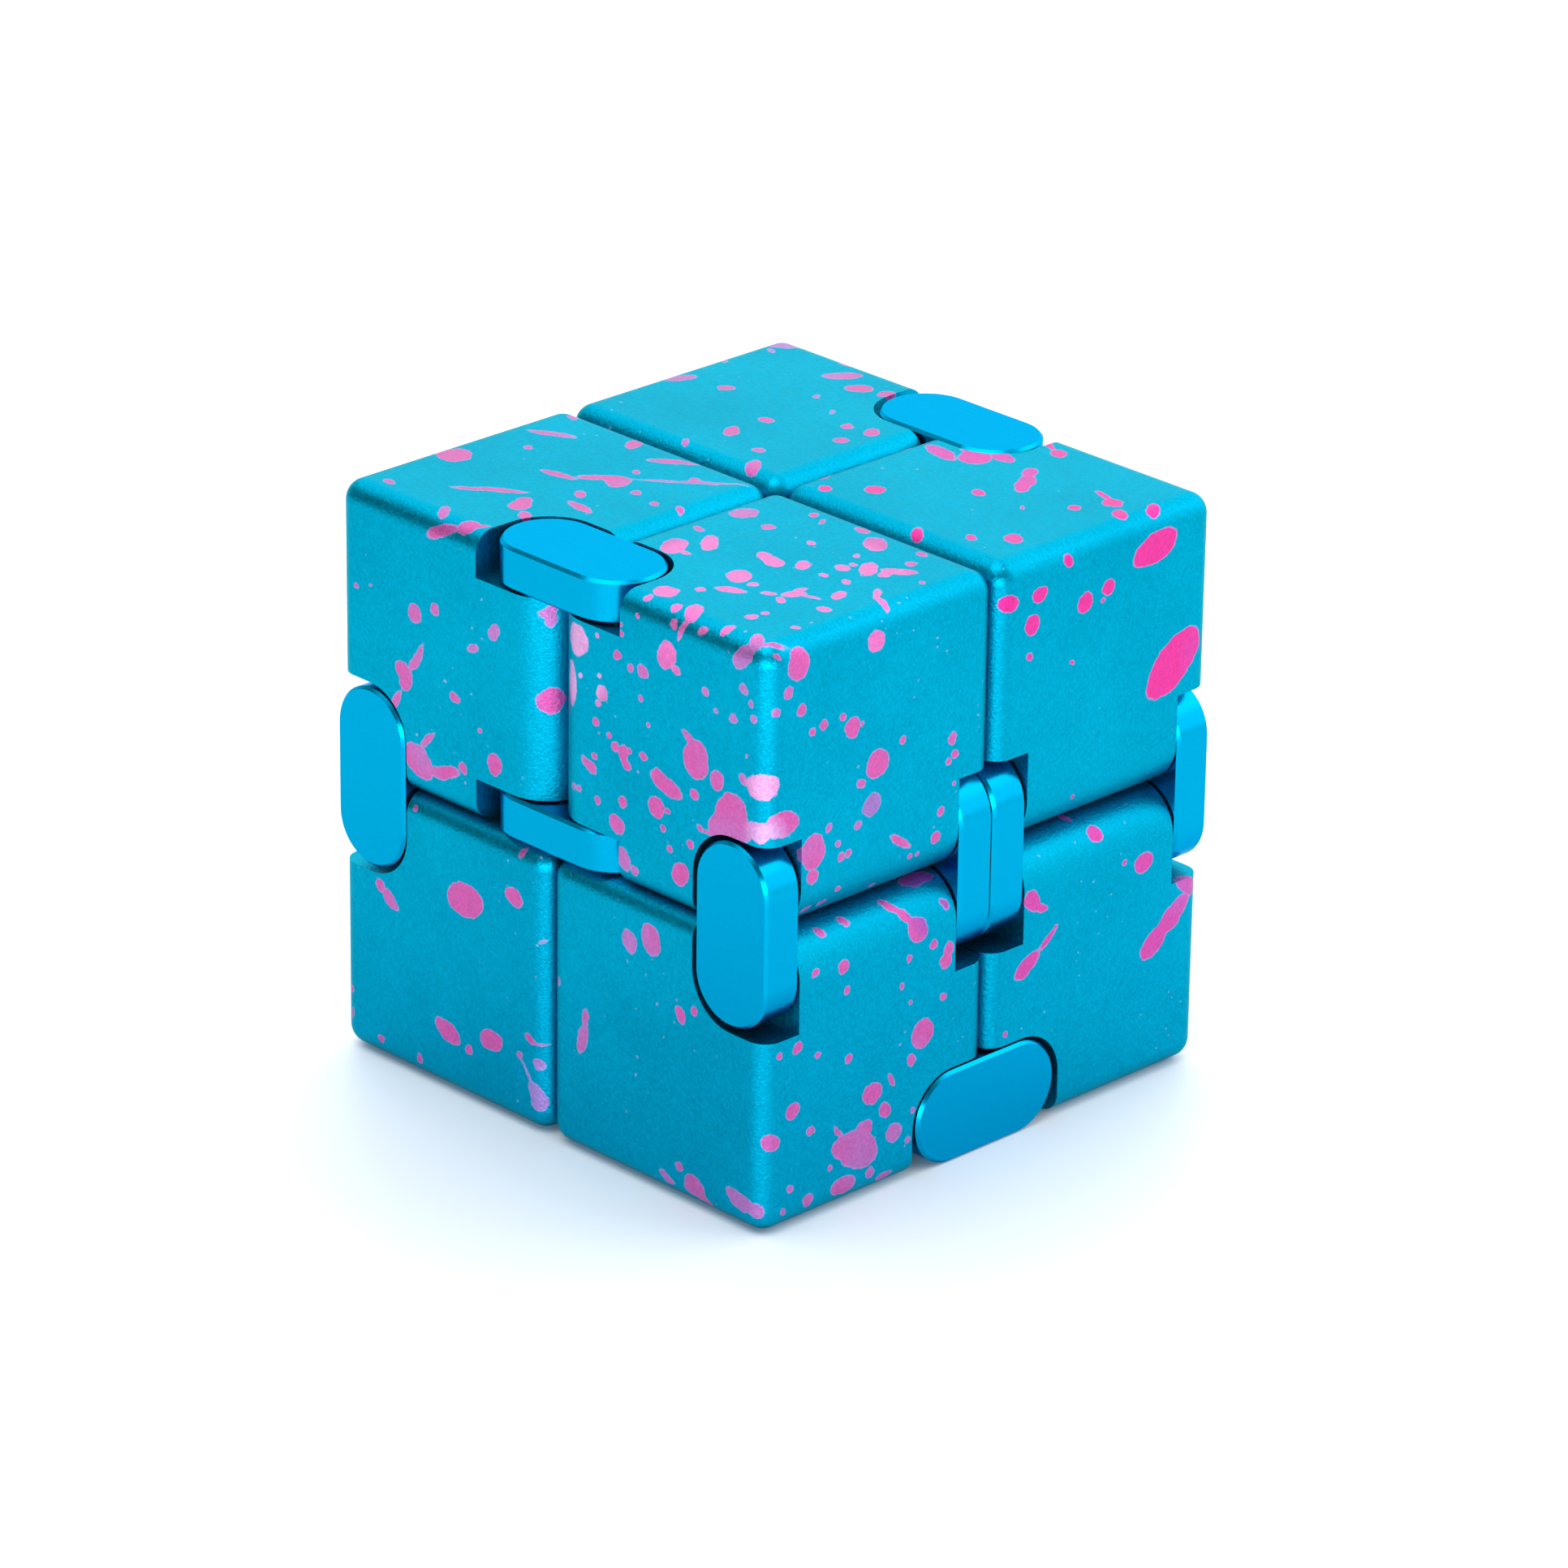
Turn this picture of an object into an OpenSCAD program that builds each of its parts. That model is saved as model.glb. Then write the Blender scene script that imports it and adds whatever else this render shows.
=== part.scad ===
// Folding cube puzzle: eight metal cubes chained in a closed loop by eight double-pivot hinges.
// Each hinge is two stadium link plates and two pins. A pin turns in the bore of its cube, and its
// ends are pressed into blind sockets in the two plates. +X is right, -Y is front and +Z is up.
// The origin is on the resting surface, under the centre of the closed cube. Millimetres.

/* [Cubes] */
// Spacing of neighbouring cube centres
pitch = 20; // [18:0.5:24]
// Gap between two closed cubes
gap = 0.2; // [0.15:0.05:0.4]
// Radius of the plain edges and of the ball corners
edge_r = 1.4; // [0.8:0.1:2.2]

/* [Link plates] */
// Width of a plate, which is also the diameter of its round ends
link_w = 6.4; // [6:0.1:6.8]
// Length of a plate over its round ends
link_l = 12.5; // [12:0.1:12.8]
// Thickness of a plate
link_t = 2.9; // [2.6:0.1:3.2]
// Distance from a pin's centre to the middle of the gap that the hinge spans
pin_inset = 3.2; // [3:0.1:3.4]
// Polished chamfer around both faces of a plate
link_chamfer = 0.2; // [0.1:0.05:0.4]
// Distance that a plate's outer face stands proud of its cubes, under half the gap
plate_proud = 0.05; // [0:0.01:0.07]
// Clearance around a plate inside its pockets
pocket_play = 0.25; // [0.2:0.05:0.5]
// Clearance behind a plate's inner face
floor_play = 0.15; // [0.05:0.05:0.2]

/* [Pins] */
// Diameter of a hinge pin
pin_d = 2; // [1.6:0.1:2.6]
// Radial clearance of a pin in the bore of its cube
pin_play = 0.05; // [0.02:0.01:0.1]
// Depth of a blind pin socket in a plate
socket_depth = 2.1; // [1.5:0.1:2.1]
// Clearance at the bottom of a pin socket
socket_play = 0.1; // [0.05:0.05:0.2]
// Chamfer on the ends of a pin
pin_chamfer = 0.25; // [0.1:0.05:0.4]

/* [Hidden] */
$fn = 64;
side = pitch - gap;
hinge_r = pin_inset - gap / 2;
pocket_r = link_w / 2 + pocket_play;
plate_out = side / 2 + plate_proud;
plate_in = plate_out - link_t;
end_x = (link_l - link_w) / 2;
pocket_floor = plate_in - floor_play;
pin_half = plate_in + socket_depth - socket_play;
rest_z = link_w / 2 - hinge_r;
centre = [0, 0, rest_z + pitch - gap / 2];
far = pitch;
eps = 0.01;

// Each hinge: its name, the way its face looks, the way its outer end points, its two pins' names
HINGES = [
    ["front", [0, -1, 0], [0, 0, 1], "right", "left"],
    ["back", [0, 1, 0], [0, 0, 1], "left", "right"],
    ["right_front", [1, 0, 0], [0, -1, 0], "upper", "lower"],
    ["right_back", [1, 0, 0], [0, 1, 0], "lower", "upper"],
    ["left_front", [-1, 0, 0], [0, -1, 0], "lower", "upper"],
    ["left_back", [-1, 0, 0], [0, 1, 0], "upper", "lower"],
    ["bottom_right", [0, 0, -1], [1, 0, 0], "back", "front"],
    ["bottom_left", [0, 0, -1], [-1, 0, 0], "front", "back"],
];
BACK = HINGES[1];
// The pin of the pivot at which the closed chain is opened: it stays inside its cube's bore
LOOSE_PIN = "pin_front_left";
// The eight cubes, as the signs of their places on X, Y and Z
CORNERS = [for (z = [1, -1], y = [-1, 1], x = [-1, 1]) [x, y, z]];

function cube_name(s) = str(
    "cube_", s.z > 0 ? "top" : "bottom", s.y < 0 ? "_front" : "_back", s.x < 0 ? "_left" : "_right"
);
function plate_name(h, end) = str("plate_", h[0], end > 0 ? "_outer" : "_inner");
function pin_name(h, way) = str("pin_", h[0], "_", way < 0 ? h[3] : h[4]);
// Direction across a hinge, from its first pin to its second
function across(h) = cross(h[1], h[2]);
// Whether the cube at corner s carries one side of hinge h
function carries(s, h) = s * h[1] == 1 && s * h[2] == 1;

// Local axes of a hinge: X across the gap, Y out of the face, Z towards the outer end
module at_hinge(h) {
    x = across(h);
    y = h[1];
    z = h[2];
    p = centre + y * (pitch - pin_inset) + z * pitch / 2;
    multmatrix([[x.x, y.x, z.x, p.x], [x.y, y.y, z.y, p.y], [x.z, y.z, z.z, p.z], [0, 0, 0, 1]])
        children();
}

// A long square bar with rounded edges, along Z
module rounded_bar() {
    core = side - 2 * edge_r;
    linear_extrude(2 * side, center = true) {
        square([side, core], center = true);
        square([core, side], center = true);
        for (x = [-1, 1], y = [-1, 1]) translate([x, y] * core / 2) circle(edge_r);
    }
}

// The plain block of a cube, with rounded edges and ball corners
module block() {
    core = side / 2 - edge_r;
    difference() {
        intersection() {
            rounded_bar();
            rotate([90, 0, 0]) rounded_bar();
            rotate([0, 90, 0]) rounded_bar();
        }
        for (x = [0, 1], y = [0, 1], z = [0, 1])
            mirror([x, 0, 0]) mirror([0, y, 0]) mirror([0, 0, z]) translate([core, core, core])
                difference() {
                    cube(2 * edge_r);
                    sphere(edge_r);
                }
    }
}

// Outline of a plate's pocket about its pin, open past the gap (-X) and out of the face (+Y)
module pocket_outline() {
    circle(pocket_r);
    translate([-far, -pocket_r]) square(far);
    translate([-far, 0]) square([far + pocket_r, far]);
}

// What lies outside a large rounding about a pin, for an edge that rolls past its neighbour
module edge_cut() {
    core = side - 2 * edge_r;
    difference() {
        translate([-far / 2, 0, -far]) cube([far / 2, far / 2, 2 * far]);
        rotate_extrude() {
            translate([0, -core / 2]) square([hinge_r, core]);
            translate([0, -side / 2]) square([hinge_r - edge_r, side]);
            for (y = [-1, 1]) translate([hinge_r - edge_r, y * core / 2]) circle(edge_r);
        }
    }
}

// What one hinge takes out of one cube: the edge's rounding, two pockets and the bore
module hinge_cut() {
    edge_cut();
    for (z = [0, 1]) mirror([0, 0, z]) translate([0, 0, pocket_floor]) linear_extrude(far) pocket_outline();
    cylinder(r = pin_d / 2 + pin_play, h = 2 * far, center = true);
}

// Axis of the pin in the cube at corner s, with the gap on its -X side and the face on its +Y side
module at_pin(s, h) {
    at_hinge(h) mirror([s * across(h) < 0 ? 1 : 0, 0, 0]) translate([pin_inset, 0, 0]) children();
}

module folding_cube(s) {
    color("deepskyblue")
    difference() {
        translate(centre + s * pitch / 2) block();
        for (h = HINGES) if (carries(s, h)) at_pin(s, h) hinge_cut();
        // The two lower back cubes have no hinge between them, but roll past each other with it
        if (s * BACK[1] > 0 && s * BACK[2] < 0) at_pin(s, BACK) translate([0, 0, -pitch]) edge_cut();
    }
}

// A round end of a plate, chamfered on both faces
module plate_end() {
    cylinder(r = link_w / 2, h = link_t - 2 * link_chamfer, center = true);
    for (z = [0, 1]) mirror([0, 0, z]) translate([0, 0, link_t / 2 - link_chamfer])
        cylinder(r1 = link_w / 2, r2 = link_w / 2 - link_chamfer, h = link_chamfer);
}

module plate(h, end) {
    c = link_chamfer;
    w = link_w / 2;
    t = link_t / 2;
    color("dodgerblue")
    at_hinge(h) mirror([0, 0, end < 0 ? 1 : 0]) translate([0, 0, plate_out - t])
        difference() {
            union() {
                rotate([90, 0, 90]) linear_extrude(2 * end_x, center = true)
                    polygon([[w, t - c], [w - c, t], [c - w, t], [-w, t - c],
                        [-w, c - t], [c - w, -t], [w - c, -t], [w, c - t]]);
                for (x = [-1, 1]) translate([x * end_x, 0, 0]) plate_end();
            }
            for (x = [-1, 1]) translate([x * pin_inset, 0, -t - eps])
                cylinder(d = pin_d, h = socket_depth + eps);
        }
}

module pin(h, way) {
    r = pin_d / 2;
    c = pin_chamfer;
    l = pin_name(h, way) == LOOSE_PIN ? pocket_floor - floor_play : pin_half;
    color("silver")
    at_hinge(h) translate([way * pin_inset, 0, 0])
        rotate_extrude() polygon([[0, -l], [r - c, -l], [r, c - l], [r, l - c], [r - c, l], [0, l]]);
}

for (s = CORNERS) folding_cube(s);
for (h = HINGES, end = [1, -1]) plate(h, end);
for (h = HINGES, way = [-1, 1]) pin(h, way);
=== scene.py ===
"""Looks for the folding cube: splatter-anodised cubes, brushed link plates and steel pins.

Every place below is in millimetres in the part's own frame, unless its name ends in _m.
"""
import math
import random

import bpy
from mathutils import Matrix, Vector

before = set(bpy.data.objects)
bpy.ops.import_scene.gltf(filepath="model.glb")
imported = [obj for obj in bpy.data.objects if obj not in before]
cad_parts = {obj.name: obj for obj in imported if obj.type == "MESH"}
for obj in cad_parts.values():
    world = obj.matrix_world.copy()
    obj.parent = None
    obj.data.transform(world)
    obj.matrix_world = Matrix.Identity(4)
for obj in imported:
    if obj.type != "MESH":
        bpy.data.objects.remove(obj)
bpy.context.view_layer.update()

MM = 0.001
FACE = 19.9                 # an outer face of the closed cube, from its middle
MIDDLE = 20.0               # height of the closed cube's middle
LEAST_DEPTH = 0.6           # how far a narrow splat reaches off its face, to wrap an edge
MERGE = 0.15                # width of the neck between two splats that meet
CHUNK = 30                  # splats worked out in one go


# ---------------------------------------------------------------- node helpers
def add(tree, kind, inputs=(), **settings):
    """A new node with its settings, and its sockets given a value or another node's socket."""
    new = tree.nodes.new(kind)
    for key, value in settings.items():
        setattr(new, key, value)
    for key, value in dict(inputs).items():
        if isinstance(value, bpy.types.NodeSocket):
            tree.links.new(value, new.inputs[key])
        else:
            new.inputs[key].default_value = value
    return new


def maths(tree, operation, *values):
    """One output of a Math node."""
    return add(tree, "ShaderNodeMath", dict(enumerate(values)), operation=operation).outputs[0]


def vector_maths(tree, operation, *values):
    """One output of a Vector Math node, which is a number for a length, a distance or a dot product."""
    inputs = dict(enumerate(values))
    outputs = add(tree, "ShaderNodeVectorMath", inputs, operation=operation).outputs
    return outputs["Value"] if operation in ("LENGTH", "DISTANCE", "DOT_PRODUCT") else outputs[0]


def between(tree, value, low, high, to_low=0.0, to_high=1.0):
    """Maps low to to_low and high to to_high, clamped."""
    inputs = {
        "Value": value, "From Min": low, "From Max": high, "To Min": to_low, "To Max": to_high,
    }
    return add(tree, "ShaderNodeMapRange", inputs).outputs[0]


def noise(tree, vector, scale, detail=2.0, roughness=0.5, output="Fac"):
    """Soft noise; its scale is in cycles to the millimetre."""
    inputs = {"Vector": vector, "Scale": scale, "Detail": detail, "Roughness": roughness}
    return add(tree, "ShaderNodeTexNoise", inputs).outputs[output]


def mix_colour(tree, factor, first, second):
    """The first colour where the factor is 0 and the second where it is 1."""
    new = add(tree, "ShaderNodeMix", data_type="RGBA")
    for place, value in ((0, factor), (6, first), (7, second)):
        if isinstance(value, bpy.types.NodeSocket):
            tree.links.new(value, new.inputs[place])
        else:
            new.inputs[place].default_value = value
    return new.outputs[2]


def srgb(red, green, blue):
    """Scene-linear colour of an 8-bit display colour."""
    def linear(c):
        c /= 255
        return c / 12.92 if c <= 0.04045 else ((c + 0.055) / 1.055) ** 2.4
    return linear(red), linear(green), linear(blue), 1.0


def new_material(name):
    """A material with an empty tree, its Principled shader and its coordinates in millimetres."""
    material = bpy.data.materials.new(name)
    material.use_nodes = True
    tree = material.node_tree
    tree.nodes.clear()
    shader = add(tree, "ShaderNodeBsdfPrincipled")
    add(tree, "ShaderNodeOutputMaterial", {"Surface": shader.outputs[0]})
    place = add(tree, "ShaderNodeTexCoord").outputs["Object"]
    in_mm = vector_maths(tree, "MULTIPLY", place, (1 / MM,) * 3)
    return material, tree, shader, in_mm


# ---------------------------------------------------------------- splatter
# A splat is (across, up, radius) or (across, up, half length, half width, angle of its length).
# "across" is X on a front or top face and Y on a right one; "up" is Z on an upright face and Y on
# the top. A face named with a depth holds splats that lie on a rounding, that far below the face.
SPLATS = {
    "cube_top_front_right": {
        "front": [
            (2.7, 35.5, 1.1), (2.0, 32.4, 1.6, .7, 90), (10.85, 36.9, 1.0, .8, 60), (11.7, 36.2, .35),
            (8.7, 35.2, .52), (7.6, 35.1, .3), (6.4, 35.7, .38), (4.6, 36.4, .2), (6.8, 37.1, .25),
            (6.7, 37.8, .22), (14.3, 35.6, .3), (15.3, 34.6, .2), (16.8, 34.6, .35), (17.7, 36.8, .35),
            (18.3, 36.1, .25), (18.6, 35.2, .3), (3.1, 33.2, .2), (4.85, 33.75, .18), (5.0, 32.6, .52),
            (4.75, 31.8, .27), (4.45, 30.55, .3), (8.55, 33.4, .25), (9.3, 31.8, .2), (18, 32.4, .15),
            (13.55, 30.8, 1.35, 1.1, 90), (12.85, 32.05, .75, .35, -35), (15.4, 30.05, .65),
            (17.7, 30.8, .4), (19.2, 30.7, 1.2, .95, 10), (16.7, 27.9, 1.8, 1.4, 70),
            (15.9, 27.1, 1.3, .9, 20), (17.5, 27.5, 1.1, 1.0, 0), (19.1, 27.7, 1.0, .7, 0),
            (13.95, 26.4, .25), (14.6, 26.35, .6, .2, 0), (10.9, 28.3, 1.5, .6, -15),
            (10.2, 28.65, .6, .5, 0), (13.45, 28.45, .45, .4, 0), (10.05, 26.5, .8, .75, 0),
            (11.05, 26.55, .25), (7.0, 29.2, .6, .45, 90), (7.3, 28.5, .5, .35, -40), (7.6, 29.55, .25),
            (6.3, 29.45, .35), (5.7, 30.0, .22), (8.8, 29.6, .33), (3.9, 27.4, .8, .4, -30),
            (4.35, 28.2, .28), (7.0, 25.9, .4), (6.45, 24.2, .68), (4.65, 25.25, .33), (2.9, 25.5, .28),
            (2.35, 25.5, .25), (10.65, 25.2, .3), (13.1, 24.95, .38), (11.25, 24.05, .27),
            (12.2, 22.65, .85, .75, 60), (7.1, 22.0, .8, .6, -60), (8.05, 21.5, .35), (8.2, 38.8, .22),
            (11.35, 39.2, .33), (12.1, 39.1, .9, .25, 80), (13.75, 39.4, .5, .35, 20),
            (17.6, 39.0, 1.2, .7, 45),
        ],
        "right": [
            (-17.35, 38.4, 1.1, .9, 90), (-18.1, 39.8, .6, .4, -50), (-19.0, 39.35, .35, .25, -40),
            (-18.2, 36.75, .4), (-17.1, 35.3, .37), (-19.15, 35.7, .35, .28, 0), (-16.1, 33.6, .28),
            (-15.15, 33.75, .37), (-13.5, 33.8, .3), (-12.7, 32.9, .7), (-11.8, 32.9, .18),
            (-10.7, 38.1, .72), (-19.7, 30.8, .85), (-18.6, 28.05, 1.3, .9, -5), (-17.6, 28.0, .5, .4, 0),
            (-10.4, 29.8, 1.0), (-11.8, 28.9, .4, .35, 0), (-8.15, 30.75, .28), (-10.8, 27.2, .82),
            (-3.8, 29.6, .42), (-3.6, 28.45, .33), (-4.1, 28.1, .23), (-3.6, 26.5, .2),
            (-15.9, 25.5, 1.2, 1.05, 90), (-16.0, 23.8, .5), (-14.6, 26.7, .3), (-13.7, 25.4, .3),
            (-12.0, 26.1, .33), (-13.4, 24.4, .3), (-12.8, 24.45, .28), (-8.3, 23.9, 1.1, .3, -35),
            (-7.3, 22.6, .27), (-6.7, 22.6, .18), (-5.1, 23.2, .5), (-4.7, 24.9, .3),
            (-13.5, 22.2, .3, .22, 0),
        ],
        ("right", .5): [
            (-16.0, 21.4, .45, .25, 15), (-14.7, 21.4, .42, .22, 0), (-10.1, 21.2, .3, .2, 0),
        ],
        "top": [
            (5.4, -1.85, .45, .3, -50), (6.6, -2.35, .4, .2, -50), (9.4, -1.55, .65, .42, 0),
            (11.55, -2.6, 1.15, .8, -40), (14.75, -1.65, .5, .38, 0), (15.45, -3.3, .42),
            (2.2, -5.0, .95, .85, 60), (4.9, -5.5, .48), (8.65, -5.4, .4, .3, -40),
            (12.2, -4.85, .4, .25, -45), (18.1, -5.0, .25), (15.85, -4.75, 1.2, .5, 35),
            (14.3, -5.9, 1.2, .6, -50), (15.6, -5.7, .6, .45, -70), (13.1, -6.05, .3),
            (13.0, -6.95, .6, .45, -20), (11.1, -8.45, .75, .5, -55), (13.1, -8.6, .42, .3, -30),
            (14.95, -8.35, .45, .35, -20), (2.2, -8.95, .5, .35, -20), (8.3, -9.1, .8, .5, -25),
            (9.4, -9.35, .95, .65, -25), (4.4, -10.1, 1.3, .6, -50), (3.3, -12.1, 1.35, .85, -60),
            (4.6, -12.35, .5, .3, 0), (9.7, -12.65, 1.1, .8, -45), (11.25, -12.95, .33),
            (14.1, -12.2, .8, .5, 60), (15.2, -11.75, .7, .22, 15), (13.9, -11.4, .5, .25, 80),
            (13.0, -13.3, .6, .3, 30), (14.3, -13.5, .55, .28, -45), (16.15, -10.3, .85, .45, -60),
            (17.2, -12.6, .5, .42, 0), (17.6, -8.4, .9, .3, -45), (18.9, -9.1, 1.2, .3, -22),
            (11.0, -14.6, 1.1, .45, 28), (9.65, -15.95, .38), (15.05, -16.7, .42), (15.2, -15.75, .28),
            (18.05, -16.0, .35, .25, 0), (8.5, -17.75, .95, .8, -30), (8.25, -19.0, .35),
            (10.65, -18.95, .4), (12.0, -18.8, 1.3, .6, -60), (15.4, -19.1, .6, .4, 90),
            (18.0, -19.2, 1.1, .55, -50), (19.0, -18.7, .8, .25, 50),
        ],
    },
    "cube_top_front_left": {
        "front": [
            (-12.45, 32.7, .68), (-10.55, 33.6, .45), (-18.05, 32.9, .22), (-16.7, 33.4, .2, .12, 10),
            (-4.98, 33.7, .7, .45, 52), (-6.95, 32.0, .6, .33, 20), (-12.3, 29.7, 1.4, .3, 58),
            (-13.65, 28.5, .75, .7, 0), (-13.3, 27.9, .9, .6, 60), (-14.3, 26.2, 1.0, .3, 52),
            (-8.65, 28.05, .48, .4, 0), (-6.3, 26.55, .25, .2, 0), (-4.93, 24.7, .75),
            (-12.2, 22.6, 1.5, 1.1, -30), (-11.3, 24.3, 1.0, .28, 48), (-9.8, 22.6, 1.6, .5, 15),
            (-7.9, 23.4, .4), (-9.7, 39.25, 1.75, .5, 25),
        ],
        ("front", 1.0): [
            (-1.0, 36.0, .8, .35, 25), (-.8, 35.5, .5, .35, 80), (-.6, 30.0, 1.2, .95, 15),
        ],
        "top": [
            (-17.85, -11.65, 1.22, 1.15, 0), (-16.4, -4.4, 1.85, .38, 25), (-17.75, -1.35, .55, .35, -30),
            (-11.4, -1.75, .95, .55, -65), (-15.65, -7.15, .42, .3, -35), (-7.45, -2.1, 1.8, .38, 33),
            (-7.7, -5.05, .45, .3, -25), (-10.75, -9.05, 1.5, .38, 12), (-8.3, -7.3, 1.8, .5, 40),
            (-4.0, -3.75, 3.6, .25, 40), (-7.2, -7.15, 1.0, .85, -60), (-4.1, -3.3, .42),
            (-5.0, -7.6, .42, .35, 0), (-2.85, -8.05, .42, .3, -40), (-1.05, -7.5, .6, .25, -40),
            (-7.2, -10.4, .6, .38, -35), (-5.55, -11.95, 1.3, .42, -5), (-11.7, -14.1, 2.6, .38, 35),
            (-8.55, -14.3, 1.2, .75, -60), (-6.9, -15.5, .75, .4, -35), (-17.05, -17.9, .55, .3, -5),
            (-10.9, -18.7, .85, .4, -50), (-8.2, -19.3, .9, .7, 45), (-7.3, -18.7, .6, .25, 40),
        ],
    },
    "cube_top_back_left": {
        "top": [
            (-18.3, 18.5, 1.2, .8, 40), (-18.1, 17.0, .45, .25, -40), (-12.9, 18.9, .6, .3, 0),
            (-11.4, 17.15, 1.45, .65, 50), (-8.95, 16.3, 1.0, .65, 40), (-7.0, 16.9, .5, .6, 0),
            (-9.7, 13.2, .4, .25, -50), (-7.05, 11.85, .42, .22, -50), (-4.45, 10.75, .5),
            (-2.6, 11.1, .75, .55, -65), (-2.9, 8.7, .5), (-14.95, 9.85, .65, .5, 30),
            (-18.3, 8.95, 1.2, .55, 65), (-18.7, 13.4, .35, .2, -30), (-8.85, 7.7, .55, .5, -30),
            (-8.95, 4.6, .9, .5, -60), (-5.2, 3.5, .48, .4, 0), (-9.6, 1.1, .5, .28, -50),
            (-3.4, 1.15, 1.2, .55, -55),
        ],
    },
    "cube_top_back_right": {
        "top": [
            (8.3, 17.35, .7, .6, -30), (7.0, 17.95, .9, .25, -30), (5.1, 12.95, 1.3, 1.1, -45),
            (6.3, 14.3, 1.1, .65, -10), (4.2, 13.5, .9, .4, 20), (3.05, 11.9, 1.7, .65, -12),
            (9.4, 13.6, .8, .5, -55), (10.6, 11.9, 1.7, .6, -60), (9.65, 8.55, .6, .45, -20),
            (13.4, 8.75, .35, .15, -45), (16.7, 13.65, .8, .65, 0), (15.4, 14.1, .9, .3, -20),
            (18.4, 12.55, .75, .5, -35), (15.7, 11.2, .5, .45, 0), (19.2, 14.8, 1.0, .5, -50),
            (4.9, 4.1, .7), (2.55, 1.9, .55, .45, -30), (16.75, 4.5, .8, .6, -30),
            (14.9, 2.7, .5, .35, -40), (12.1, .5, 1.3, .45, -50), (1.05, 3.25, .25, .45, 0),
            (.7, 10.9, .6, .4, -45),
        ],
        "right": [
            (.95, 37.3, .9, .6, -10), (3.75, 37.25, .75, .6, 0), (3.15, 35.35, .72), (3.0, 33.2, .28),
            (7.95, 35.55, .72), (10.05, 36.0, .6), (9.65, 35.2, .15), (6.9, 31.85, .25, .18, -20),
            (6.3, 38.85, .5, .4, -45), (14.3, 37.6, 2.1, 1.1, 12), (16.3, 29.1, 2.9, 1.6, 38),
            (17.6, 29.9, 1.2, 1.2, 0), (7.45, 22.3, .22),
        ],
    },
    "cube_bottom_front_left": {
        "front": [
            (-12.7, 19.05, .25), (-2.45, 19.35, .6, .3, 60), (-3.1, 16.05, .85, .6, -15),
            (-7.75, 14.25, 1.75, 1.2, 10), (-16.0, 12.6, .45), (-15.05, 11.9, .9, .5, -40),
            (-9.5, 4.35, 1.35, .75, -20), (-7.45, 3.75, .38), (-5.3, 5.15, 1.1, .75, 15),
            (-16.0, 1.6, .32), (-12.25, 1.45, .4, .3, -60), (-18.9, 4.2, .3), (-18.9, 2.4, .5, .2, 90),
            (-2.6, 5.1, .27), (-1.9, 4.1, 1.1, .13, -55), (-1.1, 2.8, 1.0, .6, -55),
            (-.7, 2.3, .8, .7, 0), (-1.6, 6.6, .45, .3, -15), (-.6, 6.4, 1.1, .12, -3),
            (-.9, 4.9, .45), (-.2, 14.0, .9, .25, 42),
        ],
    },
    "cube_bottom_front_right": {
        "front": [
            (7.65, 16.55, .8, .6, -65), (9.6, 17.3, 1.1, .88, 100), (12.35, 13.1, .65, .5, -65),
            (13.6, 13.75, .3), (3.62, 9.85, .7, .3, 90), (3.33, 8.3, 1.15, .5, 75),
            (1.07, 11.5, .4, .2, 75), (12.35, 2.45, .38), (13.75, 1.5, 1.05, .8, -20),
            (14.8, .9, .6, .3, -35),
            (11.2, 1.3, .75, .3, -25), (17.95, 2.1, 1.4, .6, -15), (19.2, 1.8, .9, .5, -10),
        ],
        "right": [
            (-6.5, 17.3, 1.0, .8, -50), (-3.85, 18.3, .65, .35, -60), (-15.55, 17.15, .3),
            (-13.1, 16.85, .48), (-12.7, 15.15, .3), (-7.2, 15.55, .27), (-5.1, 15.85, .36),
            (-3.7, 15.1, .55, .5, 90), (-3.95, 14.35, .55), (-7.9, 13.8, .25), (-7.1, 12.5, .22),
            (-4.1, 12.0, .3), (-17.05, 12.5, .45), (-18.55, 12.35, .28), (-15.25, 11.35, .28),
            (-12.5, 10.2, .35), (-5.95, 9.9, 1.0), (-6.9, 8.4, .42), (-17.4, 8.2, .6),
            (-10.35, 7.15, .82, .72, 0), (-8.7, 7.55, .6, .28, -60), (-19.3, 6.55, .9, .65, -25),
            (-15.7, 6.4, .36), (-9.15, 5.6, .65, .5, -40), (-6.7, 4.85, .28), (-11.5, 3.6, 1.9, 1.3, -35),
            (-12.6, 4.2, 1.3, .8, -10), (-11.0, 4.8, .8, .7, 0), (-13.3, 5.4, .7, .2, -50),
            (-8.35, 3.75, .78, .65, -20), (-7.05, 2.8, .27), (-14.0, 3.15, .27), (-17.5, 2.85, .3),
            (-18.05, 1.45, .25), (-15.9, 1.5, .5), (-12.8, 1.5, 1.1, .7, -10), (-10.45, 1.55, .4),
            (-9.1, .9, .75, .3, 0), (-19.8, 1.7, .5),
        ],
        ("right", .4): [(-7.3, 18.35, .85, .4, -45)],
        ("right", 1.0): [
            (-8.1, 19.05, 1.4, .3, -45), (-14.2, 19.25, .5, .3, -40), (-12.1, 19.3, .6, .3, -35),
        ],
        ("right", 2.0): [(-4.9, 19.7, 1.9, .5, -12)],
    },
    "cube_bottom_back_right": {
        "right": [
            (3.9, 16.1, .9, .65, -40), (4.8, 15.4, .5, .33, -20),
            (3.5, 11.7, 1.3, .62, 32), (5.3, 13.0, 1.0, .28, 38), (6.05, 13.65, .2), (1.7, 7.4, .25),
            (12.4, 16.25, .25), (14.15, 15.75, .85, .72, 0), (15.4, 9.7, 1.4, .85, 35),
            (17.1, 11.1, 1.9, .8, 38), (18.4, 12.9, 1.2, .6, -35),
        ],
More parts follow.
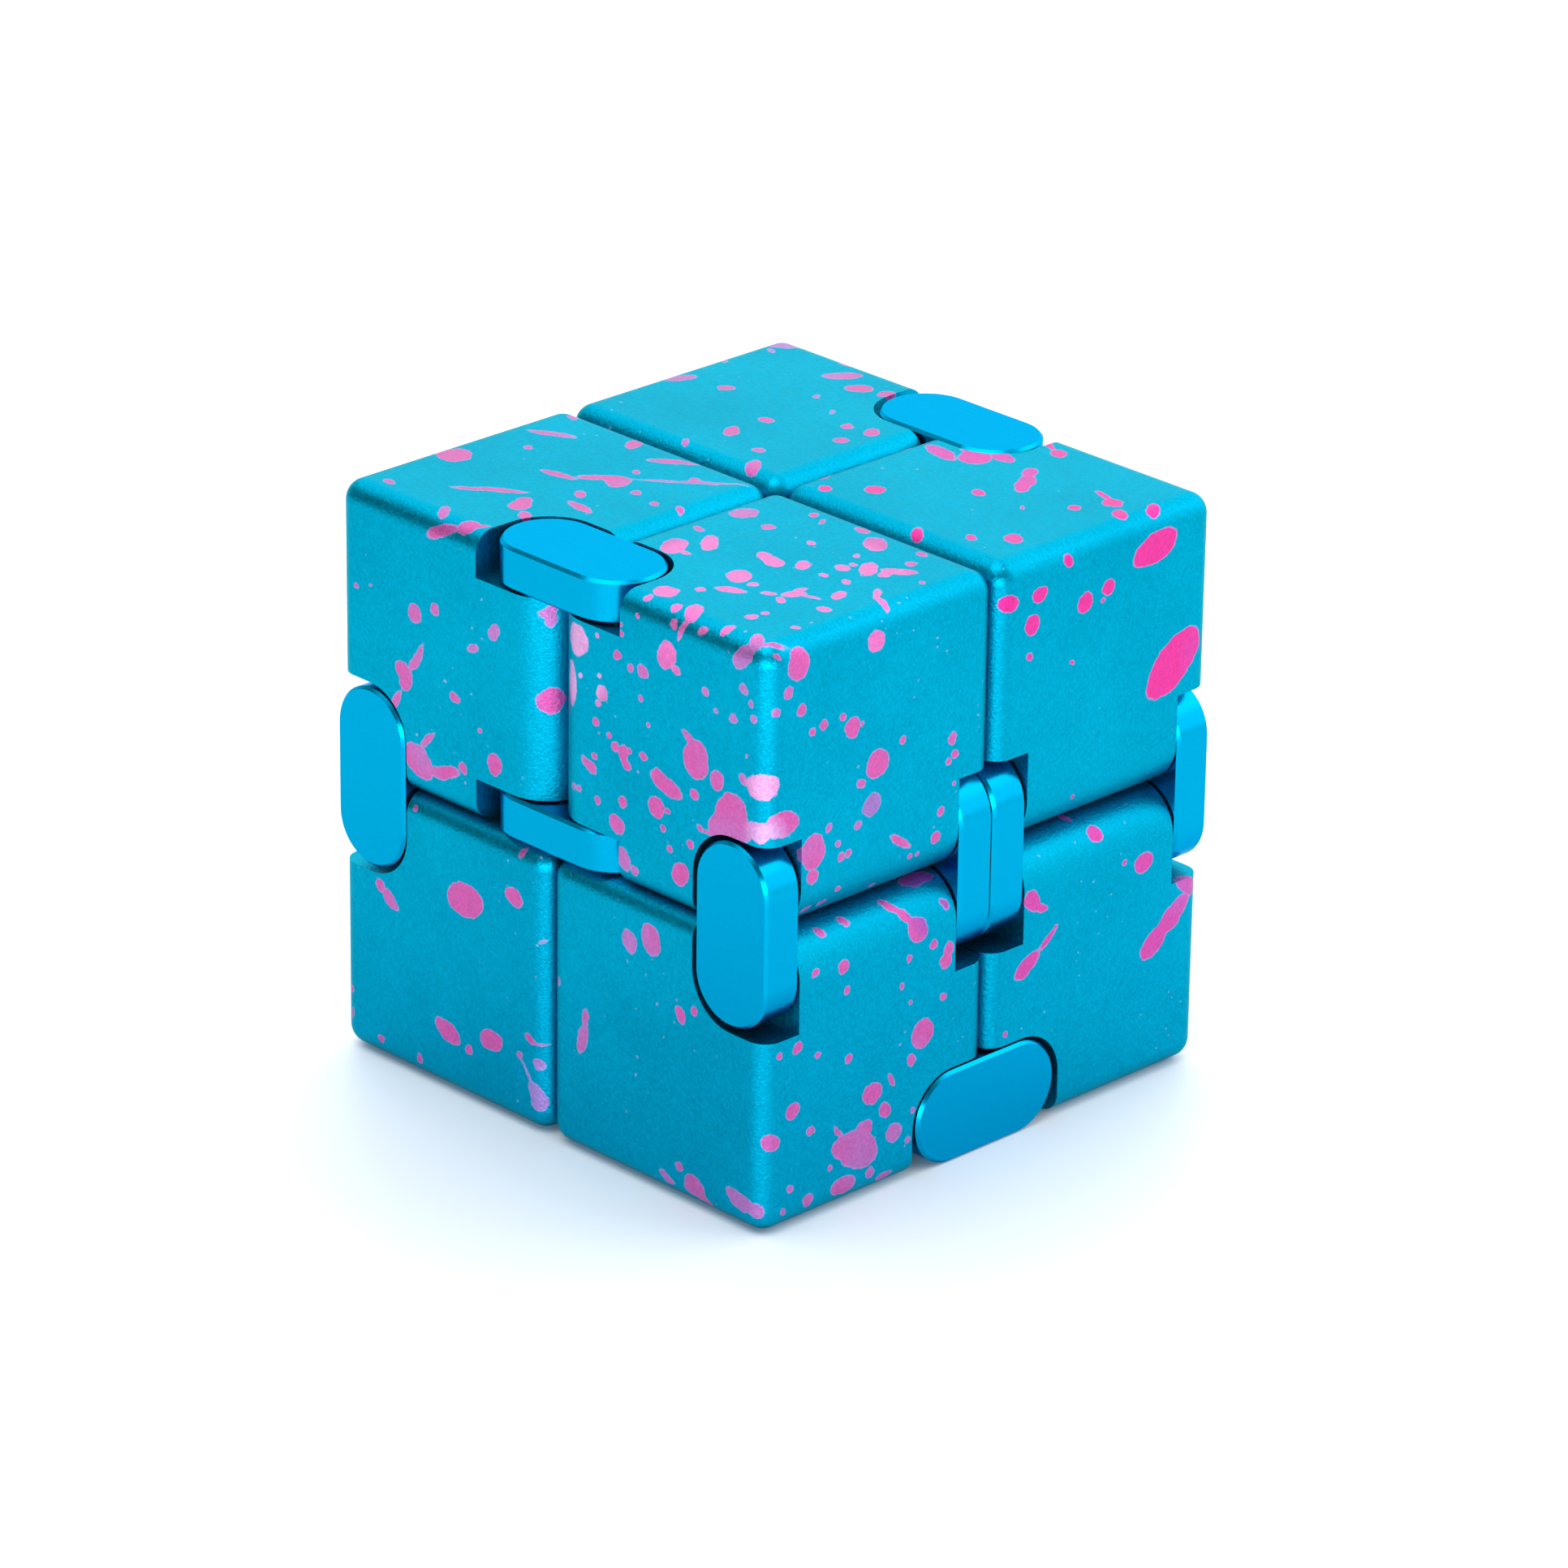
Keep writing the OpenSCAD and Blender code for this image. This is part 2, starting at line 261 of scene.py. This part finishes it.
        ("right", .65): [(10.2, 18.7, .75, .55, -40)],
        ("right", 2.2): [(8.85, 19.8, .75, .25, -40)],
    },
}
STAND = Matrix.Rotation(math.pi / 2, 3, "X")        # lifts a splat that lies flat upright
QUARTER = Matrix.Rotation(math.pi / 2, 3, "Z")      # turns an upright one to the right face


def splat_place(face, across, up):
    """Where a splat lies, and the rotation that lays its length along a face."""
    face, depth = face if isinstance(face, tuple) else (face, 0.0)
    level = FACE - depth
    if face == "right":
        return (level, across, up), QUARTER @ STAND
    if face == "front":
        return (across, -level, up), STAND
    return (across, up, MIDDLE + level), Matrix.Identity(3)


def splat_field(tree, point, splats):
    """Signed distance in millimetres to the nearest splat, below 0 inside."""
    field, first = None, point
    for count, (face, (across, up, *size)) in enumerate(splats):
        long, wide, angle = size if len(size) == 3 else (size[0], size[0], 0)
        if count % CHUNK == CHUNK - 1:
            # Ties the next splats to the ones before by a shift too small to see, so that Cycles
            # works them out in turn and doesn't run out of room
            point = vector_maths(tree, "MULTIPLY_ADD", field, (1e-9,) * 3, first)
        place, lie = splat_place(face, across, up)
        turn = (lie @ Matrix.Rotation(math.radians(angle), 3, "Z")).to_euler()
        inputs = {
            "Vector": point, "Location": place, "Rotation": turn,
            "Scale": (long, wide, max(wide, LEAST_DEPTH)),
        }
        local = add(tree, "ShaderNodeMapping", inputs, vector_type="TEXTURE").outputs[0]
        one = maths(tree, "MULTIPLY_ADD", vector_maths(tree, "LENGTH", local), wide, -wide)
        field = one if field is None else maths(tree, "SMOOTH_MIN", field, one, MERGE)
    return field


def scattered(tree, point, cell, largest, power):
    """Signed distance to round splats of random sizes, one to a cell of this size."""
    cells = add(tree, "ShaderNodeTexVoronoi", {"Vector": point, "Scale": 1 / cell})
    pick = add(tree, "ShaderNodeSeparateColor", {0: cells.outputs["Color"]}).outputs[0]
    size = maths(tree, "MULTIPLY", maths(tree, "POWER", pick, power), largest)
    return maths(tree, "SUBTRACT", maths(tree, "MULTIPLY", cells.outputs["Distance"], cell), size)


# ---------------------------------------------------------------- colours
# Two shades are the ends of the range that a metal's noise runs through
TURQUOISE = srgb(0, 140, 174), srgb(0, 148, 182)
AZURE = srgb(0, 143, 186), srgb(0, 149, 193)
STEEL = srgb(200, 202, 206), srgb(225, 226, 230)
TURQUOISE_TINT, AZURE_TINT = (0.5, 0.8, 0.72, 1), (0.4, 0.7, 0.9, 1)    # at grazing angles
SPECK, RIM = srgb(170, 160, 215), srgb(180, 160, 215)
PINK = (186, 76, 152)
OTHER_PINKS = {"cube_top_back_right": (205, 36, 138), "cube_bottom_back_right": (188, 60, 150)}
TO_MAUVE = (-22, 28, 22)    # added to a cube's pink in the clouds where it turns mauve
# Patches where the pink is replaced, each a centre, radius and colour. On the top front right cube, the
# pale ones down its front right corner and the wide one over its top are painted highlight, where the
# lamps light its splats; the others make the pink paler or more mauve.
PINK_PATCHES_AND_SHEEN = {
    "cube_top_front_right": [
        ((2.4, -20, 34.2), 3.2, (196, 140, 192)), ((19.7, -19.7, 30.7), 1.5, (206, 150, 200)),
        ((19.6, -19.9, 27.4), 1.3, (196, 150, 205)), ((20, -10.8, 27.2), 1.2, (140, 100, 170)),
        ((12, -12, 40), 9, (205, 100, 172)), ((20, -19, 30.8), 1, (200, 140, 195)),
    ],
    "cube_bottom_front_left": [((-0.7, -20, 3), 2.5, (150, 120, 190))],
    "cube_bottom_front_right": [((20, -4, 19), 3, (150, 70, 160))],
    "cube_top_back_left": [((-18.2, 18, 40), 3, (160, 110, 180))],
}
FADE_EDGE = 0.6             # half the width of a patch's soft edge

# Random splats: size of a cell, largest radius in a cell, and how rare the large ones are
ROUND_SPLATS, STREAKS, SMALL_SPLATS = (3.4, 1.5, 3.0), (3.0, 0.8, 5.0), (1.3, 0.4, 4.0)
SPECKS = (0.9, 0.13, 1.5)
STREAK_SHAPE = {"Rotation": (0.6, 0.5, 0.7), "Scale": (0.3, 1, 1)}
LISTED_DEPTH = 2.6, 3.0     # below a face with splats in the list, where the random ones set in
FAR_AWAY = 5.0              # a distance at which there is no splat
OFFSET = 50                 # most that a cube's random splats are shifted
# Soft noise that moves the outline of a splat: scale, reach
WANDER = ((0.8, 0.5), (3.0, 0.2))


# ---------------------------------------------------------------- materials
def wandering(tree, point):
    """The place moved a little by noise, so that no splat has a perfect outline."""
    moved = point
    for scale, reach in WANDER:
        shift = vector_maths(tree, "SUBTRACT", noise(tree, point, scale, output="Color"), (0.5,) * 3)
        moved = vector_maths(tree, "MULTIPLY_ADD", shift, (reach,) * 3, moved)
    return moved


def random_splats(tree, point, far):
    """Signed distance to the random splats, on the faces that the list above leaves out."""
    x, y, z = add(tree, "ShaderNodeSeparateXYZ", {0: point}).outputs
    depth = maths(tree, "MINIMUM", maths(tree, "ADD", y, FACE), maths(tree, "SUBTRACT", FACE, x))
    depth = maths(tree, "MINIMUM", depth, maths(tree, "SUBTRACT", MIDDLE + FACE, z))
    slanted = add(tree, "ShaderNodeMapping", {"Vector": far, **STREAK_SHAPE}).outputs[0]
    field = maths(tree, "MINIMUM", scattered(tree, far, *ROUND_SPLATS), scattered(tree, slanted, *STREAKS))
    field = maths(tree, "MINIMUM", field, scattered(tree, far, *SMALL_SPLATS))
    return maths(tree, "ADD", field, between(tree, depth, *LISTED_DEPTH, FAR_AWAY, 0.0))


def cube_material(name, splats, pink, offset, patches_and_sheen):
    """Blasted turquoise anodising with pink splatter."""
    material, tree, shader, point = new_material("finish_" + name)
    moved = wandering(tree, point)
    far = vector_maths(tree, "ADD", moved, offset)
    field = random_splats(tree, point, far)
    if splats:
        field = maths(tree, "MINIMUM", field, splat_field(tree, moved, splats))
    inside = between(tree, field, 0.0, -0.06)
    rim = maths(tree, "MULTIPLY", between(tree, field, 0.03, -0.01), between(tree, field, -0.1, -0.05))

    # Fine pale specks, in clouds
    speck = between(tree, scattered(tree, far, *SPECKS), 0.03, -0.03)
    speck = maths(tree, "MULTIPLY", speck, between(tree, noise(tree, far, 0.12, 1.0), 0.52, 0.6))

    # Metal, with the paint over it
    grain = noise(tree, point, 5.0, 3.0, 0.65)
    cloud = noise(tree, point, 0.12, 2.0)
    metal = mix_colour(tree, between(tree, cloud, 0.3, 0.7), *TURQUOISE)
    metal = mix_colour(tree, maths(tree, "MULTIPLY", speck, 0.5), metal, SPECK)
    mauve = [level + change for level, change in zip(pink, TO_MAUVE)]
    paint = mix_colour(tree, between(tree, cloud, 0.5, 0.68), srgb(*pink), srgb(*mauve))
    # Lays the patches over the pink: on the top front right cube, a painted highlight of pale pink down
    # the front corner and over the top; elsewhere, pink made paler or more mauve
    for place, size, tint in patches_and_sheen:
        near = vector_maths(tree, "DISTANCE", point, place)
        in_patch = between(tree, near, size + FADE_EDGE, size - FADE_EDGE)
        paint = mix_colour(tree, in_patch, paint, srgb(*tint))
    colour = mix_colour(tree, inside, metal, paint)
    colour = mix_colour(tree, maths(tree, "MULTIPLY", rim, 0.22), colour, RIM)
    shade = between(tree, grain, 0.3, 0.7, 0.82, 1.18)
    tree.links.new(vector_maths(tree, "MULTIPLY", colour, shade), shader.inputs["Base Color"])
    tree.links.new(maths(tree, "MULTIPLY_ADD", inside, -0.35, 1.0), shader.inputs["Metallic"])
    tree.links.new(between(tree, grain, 0.3, 0.7, 0.33, 0.43), shader.inputs["Roughness"])
    shader.inputs["Specular Tint"].default_value = TURQUOISE_TINT
    bump = add(tree, "ShaderNodeBump", {"Height": grain, "Strength": 0.9, "Distance": 0.00004})
    tree.links.new(bump.outputs[0], shader.inputs["Normal"])
    return material


def link_material():
    """Azure anodising, brushed along X."""
    material, tree, shader, point = new_material("finish_link")
    stretched = vector_maths(tree, "MULTIPLY", point, (0.4, 16.0, 16.0))
    brush = noise(tree, stretched, 1.0, 3.0)
    tree.links.new(mix_colour(tree, brush, *AZURE), shader.inputs["Base Color"])
    shader.inputs["Metallic"].default_value = 1.0
    shader.inputs["Specular Tint"].default_value = AZURE_TINT
    tree.links.new(between(tree, brush, 0.3, 0.7, 0.22, 0.28), shader.inputs["Roughness"])
    bump = add(tree, "ShaderNodeBump", {"Height": brush, "Strength": 0.07, "Distance": 0.00001})
    tree.links.new(bump.outputs[0], shader.inputs["Normal"])
    return material


def pin_material():
    """Ground steel."""
    material, tree, shader, point = new_material("ground_steel")
    grind = noise(tree, point, 12.0, 3.0)
    tree.links.new(mix_colour(tree, grind, *STEEL), shader.inputs["Base Color"])
    shader.inputs["Metallic"].default_value = 1.0
    tree.links.new(between(tree, grind, 0.3, 0.7, 0.2, 0.35), shader.inputs["Roughness"])
    return material


link_finish, pin_finish = link_material(), pin_material()
chance = random.Random(7)
for name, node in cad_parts.items():
    if name.startswith("cube"):
        splats = [(face, splat) for face, group in SPLATS.get(name, {}).items() for splat in group]
        offset = [chance.uniform(-OFFSET, OFFSET) for _ in range(3)]
        finish = cube_material(name, splats, OTHER_PINKS.get(name, PINK), offset, PINK_PATCHES_AND_SHEEN.get(name, []))
    else:
        finish = link_finish if name.startswith("plate") else pin_finish
    for slot in node.material_slots:
        slot.material = finish

# ---------------------------------------------------------------- camera
AZIMUTH, ELEVATION, ROLL = 45.5, 23.37, 0.78
DISTANCE_M = 0.5035
AIM = Vector((0.74, 0.32, 19.2))
FIELD_OF_VIEW = 11.55
a, e, r = (math.radians(v) for v in (AZIMUTH, ELEVATION, ROLL))
ahead = Vector((-math.sin(a) * math.cos(e), math.cos(a) * math.cos(e), -math.sin(e)))
right = ahead.cross(Vector((0, 0, 1))).normalized()
above = right.cross(ahead)
across = right * math.cos(r) + above * math.sin(r)
above = above * math.cos(r) - right * math.sin(r)
camera = bpy.data.objects.new("camera", bpy.data.cameras.new("camera"))
camera.matrix_world = Matrix((across, above, -ahead)).transposed().to_4x4()
camera.location = AIM * MM - ahead * DISTANCE_M
camera.data.angle = math.radians(FIELD_OF_VIEW)
camera.data.clip_start = 0.01
bpy.context.collection.objects.link(camera)
bpy.context.scene.camera = camera
bpy.context.scene.view_settings.view_transform = "Standard"

# ---------------------------------------------------------------- studio
# The room's light by direction. Its height is the sine of the elevation. Each range is two heights
# and the levels there. The near side is dim up to 44 degrees and brightens overhead. The far side is
# bright low down, brightest from 37 to 49 degrees, and dims overhead.
NEAR_SIDE = (0.7, 0.95, 0.24, 1.1)
FAR_SIDE_RISE, FAR_SIDE_FALL = (0.42, 0.6, 1.55, 2.15), (0.75, 0.92, 2.15, 0.6)
TO_FAR_SIDE, FAR_SIDE_BLEND = (-0.3, 0.95, 0), (-0.15, 0.35)
TO_RIGHT, RIGHT_GAIN = (0.707, 0.707, 0), (-0.5, 0.8, 0.9, 1.35)

world = bpy.data.worlds.new("studio")
bpy.context.scene.world = world
world.use_nodes = True
tree = world.node_tree
way = add(tree, "ShaderNodeTexCoord").outputs["Generated"]
height = add(tree, "ShaderNodeSeparateXYZ", {0: way}).outputs[2]
near_level = between(tree, height, *NEAR_SIDE)
rise, fall = between(tree, height, *FAR_SIDE_RISE), between(tree, height, *FAR_SIDE_FALL)
far_level = maths(tree, "MINIMUM", rise, fall)
share = between(tree, vector_maths(tree, "DOT_PRODUCT", way, TO_FAR_SIDE), *FAR_SIDE_BLEND)
level = add(tree, "ShaderNodeMix", {0: share, 2: near_level, 3: far_level}).outputs[0]
gain = between(tree, vector_maths(tree, "DOT_PRODUCT", way, TO_RIGHT), *RIGHT_GAIN)
background = tree.nodes["Background"]
tree.links.new(maths(tree, "MULTIPLY", level, gain), background.inputs["Strength"])
background.inputs["Color"].default_value = (1, 1, 1, 1)

# A floor with a painted bluish shadow near the cube, fading to an even pale grey from there on
HALF_FLOOR_M = 3.0
FLOOR_PAINTED_SHADOW, FLOOR_FAR = (0.80, 0.85, 0.91, 1), (0.96, 0.96, 0.96, 1)
FLOOR_SHADOW_FADE = 35, 70
floor_mesh = bpy.data.meshes.new("floor")
corners = [(x * HALF_FLOOR_M, y * HALF_FLOOR_M, 0) for x, y in ((-1, -1), (1, -1), (1, 1), (-1, 1))]
floor_mesh.from_pydata(corners, [], [(0, 1, 2, 3)])
floor = bpy.data.objects.new("floor", floor_mesh)
bpy.context.collection.objects.link(floor)
floor_finish, tree, shader, point = new_material("floor")
# Painted shadow: the floor's colour is darker and bluish near the cube and fades out between 35 and 70 mm
# from its middle
reach = between(tree, vector_maths(tree, "LENGTH", point), *FLOOR_SHADOW_FADE)
tree.links.new(mix_colour(tree, reach, FLOOR_PAINTED_SHADOW, FLOOR_FAR), shader.inputs["Base Color"])
shader.inputs["Roughness"].default_value = 0.5
floor_mesh.materials.append(floor_finish)


def softbox(name, azimuth, elevation, distance_m, size_m, power):
    light = bpy.data.lights.new(name, "AREA")
    light.shape = "RECTANGLE"
    light.size, light.size_y = size_m
    light.energy = power
    turn, tilt = math.radians(azimuth), math.radians(elevation)
    way = Vector((math.sin(turn) * math.cos(tilt), -math.cos(turn) * math.cos(tilt), math.sin(tilt)))
    box = bpy.data.objects.new(name, light)
    box.location = way * distance_m + Vector((0, 0, MIDDLE * MM))
    box.rotation_euler = way.to_track_quat("Z", "Y").to_euler()
    bpy.context.collection.objects.link(box)


softbox("overhead", -20, 74, 0.55, (0.5, 0.5), 1.9)
softbox("front", 38, 6, 0.7, (1.0, 0.16), 4.3)
